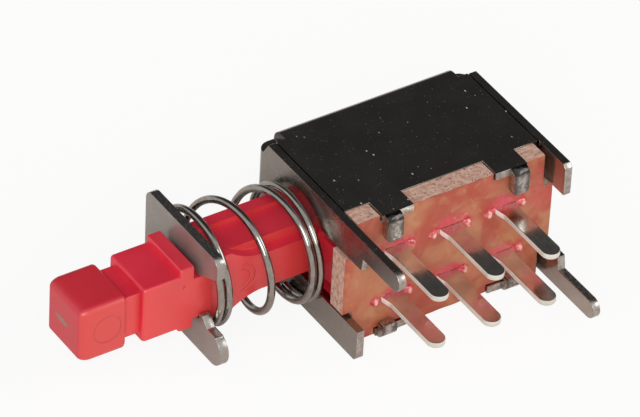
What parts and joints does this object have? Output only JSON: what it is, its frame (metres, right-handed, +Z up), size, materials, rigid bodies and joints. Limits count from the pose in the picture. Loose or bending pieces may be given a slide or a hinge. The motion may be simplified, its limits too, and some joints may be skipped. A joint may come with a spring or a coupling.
{
  "type": "pushbutton slide switch",
  "caption": "Small pushbutton switch in a folded metal frame, with a square red plunger, a coil return spring, board terminals and mounting legs.",
  "frame": {"origin": "underside of the lower side wall, below the plunger's axis and midway along the frame", "axes": "+X along the plunger towards the rear plate, the way it is pressed; -Y towards the terminal board and the terminals' tips; +Z up through the two side walls"},
  "size_m": [0.0236, 0.0119, 0.007],
  "materials": {
    "plated_steel": "bright nickel plate with shear marks on the cut edges",
    "laminate": "satin paper laminate with rough punched edges",
    "tinned_brass": "bright tin plate",
    "red_resin": "glossy, slightly clear",
    "red_moulding": "satin moulding",
    "spring_brass": "bright",
    "retainer_steel": "bright nickel plate",
    "spring_wire": "bright drawn wire"
  },
  "bodies": {
    "frame": {"frame": "plated_steel", "terminal_board": "laminate", "terminal_1": "tinned_brass", "terminal_2": "tinned_brass", "terminal_3": "tinned_brass", "terminal_4": "tinned_brass", "terminal_5": "tinned_brass", "terminal_6": "tinned_brass", "resin_seal_1": "red_resin", "resin_seal_2": "red_resin", "resin_seal_3": "red_resin", "resin_seal_4": "red_resin", "resin_seal_5": "red_resin", "resin_seal_6": "red_resin", "return_spring": "spring_wire"},
    "plunger": {"plunger": "red_moulding", "contact_clip_1": "spring_brass", "contact_clip_2": "spring_brass", "spring_retainer": "retainer_steel"}
  },
  "joints": [
    {"name": "plunger_press", "type": "slide", "parent": "frame", "child": "plunger", "axis": [1, 0, 0], "range_m": [0, 0.0026], "stiffness_N_per_m": 360, "springref_m": -0.0022, "deforming": ["return_spring"]}
  ]
}
